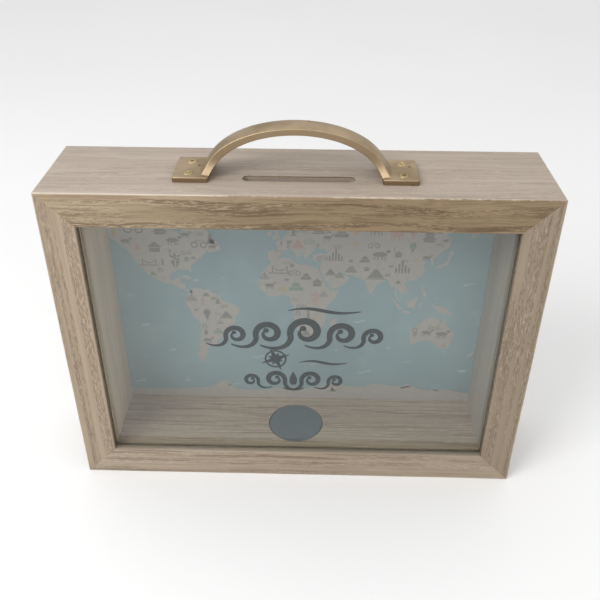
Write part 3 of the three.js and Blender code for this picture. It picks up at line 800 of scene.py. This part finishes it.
def ice_coast():
    """The ice along the foot of the card, down to the card's lower edge."""
    left, right = card_low.x + CARD_MARGIN, card_high.x - CARD_MARGIN
    steps = len(ICE_SHORE) - 1
    shore = []
    for i in range(steps):
        for part in range(4):
            share = part / 4
            x = left + (right - left) * (i + share) / steps
            height = ICE_SHORE[i] + (ICE_SHORE[i + 1] - ICE_SHORE[i]) * share
            shore.append((x, window_base + (height + 0.7 * noise.noise(Vector((x * 500, 0, 1.3)))) * MM))
    foot = card_low.z + CARD_MARGIN
    return shore + [(right, shore[-1][1]), (right, foot), (left, foot)]


def inside(outline, x, z):
    crossed = False
    for (x0, z0), (x1, z1) in zip(outline, outline[1:] + outline[:1]):
        if (z0 > z) != (z1 > z) and x < x0 + (x1 - x0) * (z - z0) / (z1 - z0):
            crossed = not crossed
    return crossed


noise.seed_set(7)
coasts = {name: rough_coast([on_card(*point) for point in outline]) for name, outline in LANDS.items()}


# ---------- Little pictures on the map ----------

def ring_of(x, z, rx, rz, count=16, start=0.0, sweep=2 * math.pi):
    whole = abs(sweep - 2 * math.pi) < 1e-6
    last = count if whole else count - 1
    return [
        (x + rx * math.cos(start + sweep * i / last), z + rz * math.sin(start + sweep * i / last))
        for i in range(count)
    ]


def slab(x0, z0, x1, z1):
    return [(x0, z0), (x1, z0), (x1, z1), (x0, z1)]


def star(x, z, long_radius, short_radius, points, start):
    return [
        (x + r * math.cos(a), z + r * math.sin(a))
        for i in range(2 * points)
        for r, a in [((long_radius, short_radius)[i % 2], start + math.pi * i / points)]
    ]


def stroke(line, widths):
    """A brush stroke along a line of points, as wide at each point as its width says."""
    left, right = [], []
    count = len(line)
    for i, (x, z) in enumerate(line):
        xa, za = line[max(i - 1, 0)]
        xb, zb = line[min(i + 1, count - 1)]
        length = math.hypot(xb - xa, zb - za)
        nx, nz = -(zb - za) / length, (xb - xa) / length
        half = widths[i] / 2
        left.append((x + nx * half, z + nz * half))
        right.append((x - nx * half, z - nz * half))
    return left + right[::-1]


def leaf(x, z, angle, length, width):
    outline = []
    for side in (1, -1):
        for i in range(7):
            share = i / 7 if side > 0 else 1 - i / 7
            along = share * length
            aside = side * width * math.sin(math.pi * share ** 0.8) / 2
            outline.append((x + along * math.cos(angle) - aside * math.sin(angle),
                            z + along * math.sin(angle) + aside * math.cos(angle)))
    return outline


# Each little picture is a list of outlines about one unit wide, standing on height 0.
half_round = {"start": 0, "sweep": math.pi}
hanging = {"start": math.pi, "sweep": math.pi}
peak = [[(-0.5, 0), (0.5, 0), (0.08, 0.62), (-0.08, 0.62)], slab(-0.6, -0.1, 0.6, -0.04)]
hut = [slab(-0.32, 0, 0.32, 0.3), [(-0.46, 0.34), (0.46, 0.34), (0, 0.72)]]
tower = [slab(-0.12, 0, 0.12, 0.6), [(-0.12, 0.64), (0.12, 0.64), (0, 0.95)], slab(-0.24, -0.1, 0.24, -0.03)]
dome = [slab(-0.4, 0, 0.4, 0.22), ring_of(0, 0.26, 0.26, 0.3, 9, **half_round)]
tree_shape = [slab(-0.04, 0, 0.04, 0.3), ring_of(0, 0.5, 0.22, 0.26, 12)]
beast = [slab(x, 0, x + 0.07, 0.2) for x in (-0.32, -0.14, 0.1, 0.26)] + [
    ring_of(0, 0.36, 0.4, 0.16, 14), ring_of(0.44, 0.56, 0.13, 0.1, 10)]
bridge = [slab(x - 0.03, 0, x + 0.03, 0.42) for x in (-0.4, 0.4)] + [
    ring_of(0, 0.36, 0.34, 0.26, 9, **hanging) + ring_of(0, 0.42, 0.34, 0.26, 9, **hanging)[::-1],
    slab(-0.62, -0.06, 0.62, 0)]
city = [slab(-0.42 + 0.17 * i, 0, -0.32 + 0.17 * i, h) for i, h in enumerate((0.34, 0.56, 0.78, 0.5, 0.3))]
boat = [[(-0.5, 0.14), (0.5, 0.14), (0.32, 0), (-0.34, 0)], [(-0.02, 0.2), (0.34, 0.2), (-0.02, 0.7)]]
cloud = [ring_of(-0.24, 0, 0.34, 0.09, 14), ring_of(0.3, 0.16, 0.3, 0.08, 14)]
arch = [[(0.36, 0)] + ring_of(0, 0.3, 0.36, 0.4, 11, **half_round) + [(-0.36, 0), (-0.2, 0)]
        + ring_of(0, 0.3, 0.2, 0.24, 9, **half_round)[::-1] + [(0.2, 0)], slab(-0.48, -0.12, 0.48, -0.05)]
pagoda = [[(-w, z), (w, z), (0.5 * w, z + 0.14), (-0.5 * w, z + 0.14)]
          for w, z in ((0.44, 0.16), (0.34, 0.46), (0.24, 0.76))] + [
    slab(-w, z, w, z + 0.13) for w, z in ((0.3, 0), (0.22, 0.31), (0.14, 0.61))]
pyramid = [slab(-0.5 + 0.11 * i, 0.15 * i, 0.5 - 0.11 * i, 0.15 * i + 0.11) for i in range(4)]
wheels = [ring_of(x, 0.24, r, r, 14) for x in (-0.3, 0.3) for r in (0.24, 0.16)] + [
    stroke([(-0.22, 0.55), (0.0, 0.52), (0.26, 0.62)], [0.05] * 3)]
palm = [[(-0.05, 0), (0.05, 0), (0.03, 0.6), (-0.03, 0.6)]] + [
    leaf(0, 0.66, math.radians(a), 0.42, 0.14)[1:] for a in (-20, 35, 90, 145, 200)]
whale = [ring_of(0, 0.12, 0.4, 0.15, 16), leaf(-0.42, 0.16, math.radians(150), 0.22, 0.1)]
LAND_PICTURES = (
    peak, hut, tower, dome, tree_shape, beast, bridge, city, arch, pagoda, pyramid, wheels, palm, beast)
SEA_PICTURES = (boat, cloud, whale, cloud)
INK_CHANCES = ("grey", "grey", "grey", "rose", "grey", "sage", "grey", "ochre")


LARGE_TRIES, SEA_TRIES, MIDDLE_TRIES, ALL_TRIES = 500, 1500, 3000, 5200


def scatter_pictures():
    """Little pictures spread over the land, and a few at sea, none of them touching."""
    chance = random.Random(41)
    taken = []
    shapes = {ink: [] for ink in picture_inks}
    pale = []
    for tries in range(ALL_TRIES):
        x = chance.uniform(window_left + 3 * MM, window_right - 3 * MM)
        z = chance.uniform(window_base + 2 * MM, window_top - 5 * MM)
        sizes = (8.5, 11) if tries < LARGE_TRIES else (5.5, 7.5) if tries < MIDDLE_TRIES else (3.0, 4.6)
        size = chance.uniform(*sizes) * MM
        drawing = chance.choice(LAND_PICTURES)
        ink = chance.choice(INK_CHANCES)
        corners = [(x - size / 2, z), (x + size / 2, z), (x, z + size * 0.8)]
        land = any(all(inside(coast, *corner) for corner in corners) for coast in coasts.values())
        sea = not any(inside(coast, *c) for coast in coasts.values() for c in corners + [(x, z + size)])
        apart = 0.48 if land else 1.9
        if not (land or (sea and tries > SEA_TRIES)) or any(
            math.hypot(x - a, z - b) < apart * (size + other) for a, b, other in taken
        ):
            continue
        taken.append((x, z, size))
        if sea:
            drawing = chance.choice(SEA_PICTURES)
        layer = pale if sea else shapes[ink]
        layer.append([[(x + px * size, z + pz * size) for px, pz in line] for line in drawing])
    return shapes, pale


def add_map():
    layer = 0.03 * MM
    face = card_low.y - 0.01 * MM
    lands = [[coast] for coast in coasts.values()] + [[ice_coast()]]
    print_shapes("map_land", lands, face, layer, land_ink)
    shapes, pale = scatter_pictures()
    print_shapes("map_sea_pictures", pale, face, layer, pale_ink)
    for ink, drawings in shapes.items():
        name = "map_pictures_" + ink
        print_shapes(name, drawings, face - 2 * layer, layer, picture_inks[ink])


add_map()


# ---------- Ornament on the glass ----------

def curve_through(start, pull_a, pull_b, end, count):
    """Points of a cubic curve, without its last one."""
    points = []
    for i in range(count):
        t = i / count
        a, b, c, d = (1 - t) ** 3, 3 * t * (1 - t) ** 2, 3 * t * t * (1 - t), t ** 3
        points.append((a * start[0] + b * pull_a[0] + c * pull_b[0] + d * end[0],
                       a * start[1] + b * pull_a[1] + c * pull_b[1] + d * end[1]))
    return points


def curling_wave(x, z, radius, heavy, turn=1):
    """A brush stroke that sweeps along the water and curls over in a crest, breaking to one side."""
    first, last, count = math.radians(205), math.radians(-235), 46
    start = (math.cos(first) * radius, math.sin(first) * radius)
    line = curve_through((-2.75 * radius, -1.0 * radius), (-1.9 * radius, -1.45 * radius),
                         (-1.05 * radius, -1.25 * radius), start, 14)
    for i in range(count + 1):
        share = i / count
        angle = first + (last - first) * share
        reach = radius * (1 - 0.68 * share ** 0.85)
        line.append((math.cos(angle) * reach, math.sin(angle) * reach))
    total = len(line) - 1
    swell = [math.sin(math.pi * min(1, 1.04 * i / total)) ** 0.8 for i in range(total + 1)]
    widths = [heavy * (0.22 + 0.78 * share) for share in swell]
    brush = stroke([(x + turn * px, z + pz) for px, pz in line], widths)
    tip = line[-1]
    return [brush, ring_of(x + turn * tip[0], z + tip[1], heavy * 0.42, heavy * 0.42, 18)]


def swash(x, z, half_width, rise, heavy):
    """A long thin flourish, like a drawn breath of wind."""
    shares = [i / 40 for i in range(41)]
    line = [(x + (2 * t - 1) * half_width, z + rise * math.sin(2 * math.pi * t) * (1 - 0.3 * t))
            for t in shares]
    return stroke(line, [heavy * (0.25 + 0.75 * math.sin(math.pi * t)) for t in shares])


def add_ornament():
    """Two rows of curling waves with a compass star between them, printed on the glass's inner face."""
    layer = 0.04 * MM
    face = glass_high.y + 0.015 * MM
    strokes = []
    upper = ((-33, 91.5, 5.9, 3.0), (-15.5, 91, 7.4, 3.7), (4.5, 90.5, 9.0, 4.2), (24, 91, 7.4, 3.7),
             (40.5, 91.5, 5.7, 3.0))
    lower = ((10, 61.5, 5.8, 2.9), (23.5, 62.5, 4.3, 2.3))
    waves = [wave + (1,) for wave in upper]
    waves += [(side * x - 2.4, *rest, side) for side in (-1, 1) for x, *rest in lower]
    for x, base, radius, heavy, side in waves:
        strokes += curling_wave(x * MM, (base + 1.15 * radius) * MM, radius * MM, heavy * MM, side)
    strokes.append(leaf(-2.4 * MM, 63 * MM, math.radians(90), 11 * MM, 4.4 * MM)[1:])
    strokes.append(swash(14 * MM, 114.5 * MM, 19 * MM, 1.5 * MM, 2.1 * MM))
    strokes.append(swash(14 * MM, 80.5 * MM, 13 * MM, 1.1 * MM, 1.8 * MM))
    x, z = -12.0 * MM, 82.6 * MM
    prints = [(f"glass_stroke_{i + 1:02d}", [outline], 1.3 * (i % 4)) for i, outline in enumerate(strokes)]
    prints += [
        ("glass_dial", [ring_of(x, z, 6.0 * MM, 6.0 * MM, 48), ring_of(x, z, 5.0 * MM, 5.0 * MM, 48)], 0),
        ("glass_compass", [star(x, z, 8.9 * MM, 2.0 * MM, 4, math.radians(112))], 1.3),
        ("glass_compass_minor", [star(x, z, 4.6 * MM, 1.9 * MM, 4, math.radians(157))], 2.6),
    ]
    for name, outlines, lift in prints:
        print_shapes(name, [outlines], face + lift * layer, layer, teal_ink, grow_front=False)


add_ornament()


# ---------- Handle ----------

handle_low, handle_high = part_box("handle")
handle_middle = (handle_low + handle_high) / 2
handle_rise = handle_high.z - handle_low.z
BAR_OPENING = 39.6 * MM  # half of the clear width between the ends of the arch
BAR_CROWN = 3.8 * MM  # thickness at the top
BAR_END = 5.8 * MM  # thickness at the feet
BAR_WIDTH = 13 * MM
FLARE_WIDTH = 24.6 * MM
FLARE_HEIGHT = 12 * MM
INNER_BEND, INNER_BEND_HEIGHT = 3.2 * MM, 16 * MM  # how far and how high the bar turns outwards into its foot
OUTER_BEND, OUTER_BEND_HEIGHT = 4.5 * MM, 7 * MM
FOOT_WIDTH = 17.5 * MM
FOOT_THICKNESS = 2.6 * MM
screw_boxes = {n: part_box(n) for n in sorted(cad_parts) if n.startswith("handle_screw")}


def bar_piece():
    """A straight bar with softened arrises, cut into short lengths and curved into the arch."""
    bar = block((2, 2, 1), (0, 0, 0.5))
    edit(bar, "EDGE")
    choose(bar, edges=lambda e: abs(e.verts[0].co.x - e.verts[1].co.x) > 1 and e.verts[0].co.z > 0.5)
    bpy.ops.mesh.bevel(offset=0.09, segments=3, profile=0.5)
    choose_none()
    choose(bar, edges=lambda e: abs(e.verts[0].co.x - e.verts[1].co.x) > 1 and e.verts[0].co.z < 0.01)
    bpy.ops.mesh.bevel(offset=0.06, segments=2)
    for axis, places in ((0, [i / 36 - 1 for i in range(1, 72)]), (1, [-0.6, -0.3, 0, 0.3, 0.6])):
        for place in places:
            choose_all()
            normal = [0, 0, 0]
            normal[axis] = 1
            bpy.ops.mesh.bisect(plane_co=[place * n for n in normal], plane_no=normal)
    leave()
    for vertex in bar.data.vertices:
        along, aside, out = vertex.co
        angle = (1 - along) * math.pi / 2
        side = math.copysign(1, math.cos(angle))
        inner = Vector((math.cos(angle) * BAR_OPENING, math.sin(angle) * (handle_rise - BAR_CROWN)))
        outer = Vector((math.cos(angle) * (BAR_OPENING + BAR_END), math.sin(angle) * handle_rise))
        flare = max(0.0, 1 - inner.y / FLARE_HEIGHT) ** 2
        inner.x += side * INNER_BEND * max(0.0, 1 - inner.y / INNER_BEND_HEIGHT) ** 2
        outer.x += side * OUTER_BEND * max(0.0, 1 - outer.y / OUTER_BEND_HEIGHT) ** 2
        half = (BAR_WIDTH + (FLARE_WIDTH - BAR_WIDTH) * flare) / 2
        bulge = 1 - (0.16 if out > 0.6 else 0.0) * aside * aside
        spot = inner.lerp(outer, out * bulge)
        vertex.co = (spot.x, aside * half, spot.y)
    return bar


def foot_piece(side):
    """A flat cast foot with rounded corners, its upper edge dressed off."""
    size = handle_high - handle_low
    foot = block((FOOT_WIDTH, size.y, FOOT_THICKNESS),
                 (side * (size.x / 2 - FOOT_WIDTH / 2), 0, FOOT_THICKNESS / 2))
    edit(foot, "EDGE")
    choose(foot, edges=lambda e: abs(e.verts[0].co.z - e.verts[1].co.z) > MM)
    bpy.ops.mesh.bevel(offset=1.1 * MM, segments=4)
    choose_none()
    choose(foot, edges=lambda e: min(v.co.z for v in e.verts) > FOOT_THICKNESS - 0.01 * MM)
    bpy.ops.mesh.bevel(offset=0.45 * MM, segments=3)
    leave()
    return foot


def sink_piece(x, y):
    """The countersunk hole under a screw head, as a solid to cut away."""
    bpy.ops.mesh.primitive_cylinder_add(vertices=40, radius=1.8 * MM, depth=4 * MM, location=(0, 0, 0.9 * MM))
    sink = bpy.context.object
    settle(sink)
    edit(sink, "FACE")
    choose(sink, faces=lambda f: f.normal.z > 0.9)
    top = 2.9 * MM
    bpy.ops.transform.translate(value=(0, 0, 1.0 * MM - top))
    draw_up(1.6 * MM, 1.5)
    draw_up(3 * MM)
    leave()
    sink.location = (x, y, 0)
    settle(sink)
    return sink


def add_handle():
    handle = bar_piece()
    for side in (-1, 1):
        combine(handle, foot_piece(side), "UNION")
    for low, high in screw_boxes.values():
        middle = (low + high) / 2 - handle_middle
        combine(handle, sink_piece(middle.x, middle.y), "DIFFERENCE")
    handle.location = (handle_middle.x, handle_middle.y, handle_low.z)
    settle(handle)
    finish_piece(handle, "cast_handle", ["handle"], antique_brass, smooth=50)


def add_screws():
    """Countersunk cross-recess wood screws, each left at its own turn."""
    turns = (12, 57, 33, 78)
    for (node, (low, high)), turn in zip(screw_boxes.items(), turns):
        middle = (low + high) / 2
        radius = (high.x - low.x) / 2
        shank = 1.5 * MM
        bpy.ops.mesh.primitive_cone_add(vertices=40, radius1=0.15 * MM, radius2=shank, depth=3 * MM,
                                        location=(0, 0, 1.5 * MM))
        screw = bpy.context.object
        settle(screw)
        length = high.z - low.z
        edit(screw, "FACE")
        choose(screw, faces=lambda f: f.normal.z > 0.9)
        rim = length - 0.5 * MM
        for rise, grow in ((rim - 1.6 * MM - 3 * MM, 1), (1.45 * MM, radius / shank), (0.15 * MM, 1),
                           (0.2 * MM, 0.9), (0.2 * MM, 0.72), (0.1 * MM, 0.4)):
            draw_up(rise, grow)
        leave()
        for quarter in (0, 90):
            arm = block((3.4 * MM, 0.85 * MM, 2.4 * MM), (0, 0, length), quarter)
            edit(arm)
            choose(arm, verts=lambda v: v.co.z < length)
            bpy.ops.transform.resize(value=(0.5, 0.5, 1), center_override=(0, 0, length))
            leave()
            combine(screw, arm, "DIFFERENCE")
        soften(screw, lambda e: min(v.co.z for v in e.verts) > rim - 0.2 * MM, 0.06 * MM)
        screw.rotation_euler = (0, 0, math.radians(turn))
        screw.location = (middle.x, middle.y, low.z)
        settle(screw)
        finish_piece(screw, node + "_brass", [node], screw_brass)


add_handle()
add_screws()


# ---------- Stopper ----------

def add_stopper():
    """A moulded stopper: flange, beads and a hollow with a grip bar underneath."""
    low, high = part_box("stopper")
    middle = (low + high) / 2
    flange = (high.x - low.x) / 2
    body = flange - 3.2 * MM
    top = high.z - low.z
    recess = 10 * MM
    hollow = 11 * MM
    beads = [2 * MM + (top - 2 * MM) * share for share in (0.35, 0.75)]
    profile = [(0, recess), (hollow - 1.2 * MM, recess), (hollow - 0.35 * MM, recess - 0.35 * MM),
               (hollow, recess - 1.2 * MM), (hollow, 0.5 * MM), (hollow + 0.5 * MM, 0),
               (flange - 0.6 * MM, 0), (flange - 0.17 * MM, 0.17 * MM), (flange, 0.6 * MM),
               (flange, 1.6 * MM), (flange - 0.3 * MM, 2 * MM), (body + 0.3 * MM, 2 * MM),
               (body, 2.3 * MM)]
    for bead in beads:
        profile += [(body, bead - MM), (body + 0.14 * MM, bead - 0.5 * MM), (body + 0.2 * MM, bead),
                    (body + 0.14 * MM, bead + 0.5 * MM), (body, bead + MM)]
    profile += [(body, top - 0.9 * MM), (body - 0.26 * MM, top - 0.26 * MM), (body - 0.9 * MM, top), (0, top)]
    mesh = bpy.data.meshes.new("stopper_profile")
    mesh.from_pydata([(r, 0, z) for r, z in profile], [(i, i + 1) for i in range(len(profile) - 1)], [])
    stopper = link(bpy.data.objects.new("stopper_profile", mesh))
    edit(stopper)
    choose_all()
    bpy.ops.mesh.spin(steps=96, angle=2 * math.pi, center=(0, 0, 0), axis=(0, 0, 1))
    choose_all()
    bpy.ops.mesh.remove_doubles(threshold=0.005 * MM)
    bpy.ops.mesh.normals_make_consistent(inside=False)
    leave()
    bar = block((3.6 * MM, 2 * hollow + MM, recess), (0, 0, 1.5 * MM + recess / 2))
    soften(bar, lambda e: max(v.co.z for v in e.verts) < 2 * MM, 0.7 * MM, segments=4)
    combine(stopper, bar, "UNION")
    stopper.location = (middle.x, middle.y, low.z)
    settle(stopper)
    finish_piece(stopper, "rubber_stopper", ["stopper"], blue_rubber, body="stopper", smooth=40)


add_stopper()


# ---------- Floor, light and camera ----------

def add_floor():
    bpy.ops.mesh.primitive_plane_add(size=6, location=(0, 0, 0))
    floor = bpy.context.object
    floor.name = "floor"
    settle(floor)
    material, tree, principled, place = new_material("pale floor", Roughness=0.9, Specular_IOR_Level=0.1)
    cloud_tone = noise_of(tree, place, scale=3.0, detail=2.0)
    feed(tree, principled, Base_Color=mixed(tree, cloud_tone, tint(246, 246, 246), tint(240, 240, 240)))
    floor.data.materials.append(material)


def add_light(name, place, target, size, power):
    light = bpy.data.lights.new(name, "AREA")
    light.shape = "SQUARE"
    light.size = size
    light.energy = power
    lamp = link(bpy.data.objects.new(name, light))
    lamp.location = place
    lamp.rotation_euler = (Vector(target) - Vector(place)).to_track_quat("-Z", "Y").to_euler()


def add_world(overhead, level):
    """A plain white room, brighter overhead than at eye level."""
    world = bpy.data.worlds.new("studio")
    world.use_nodes = True
    tree = world.node_tree
    up = axes(tree, put(tree, "TexCoord").outputs["Generated"])["Z"]
    glow = times(tree, ramp(tree, up, -0.1, 0.9), overhead - level, level)
    wire(tree, tree.nodes["Background"], {"Strength": glow, "Color": (1, 1, 1, 1)})
    bpy.context.scene.world = world


def add_camera():
    camera = bpy.data.cameras.new("camera")
    camera.sensor_width = 36
    camera.lens = 44.89
    holder = link(bpy.data.objects.new("camera", camera))
    holder.location = (0.0085, front_y - 0.316, 0.3346)
    holder.rotation_euler = (math.radians(56.512), math.radians(-0.225), math.radians(1.457))
    bpy.context.scene.camera = holder


add_floor()
add_world(overhead=0.92, level=0.5)
middle_of_case = (0, 0, 0.09)
add_light("softbox_left", (-0.6, -0.62, 0.85), middle_of_case, 0.55, 6.5)
add_light("softbox_front", (0.3, -1.4, 0.9), middle_of_case, 1.0, 3)
add_camera()
bpy.context.scene.view_settings.view_transform = "Standard"
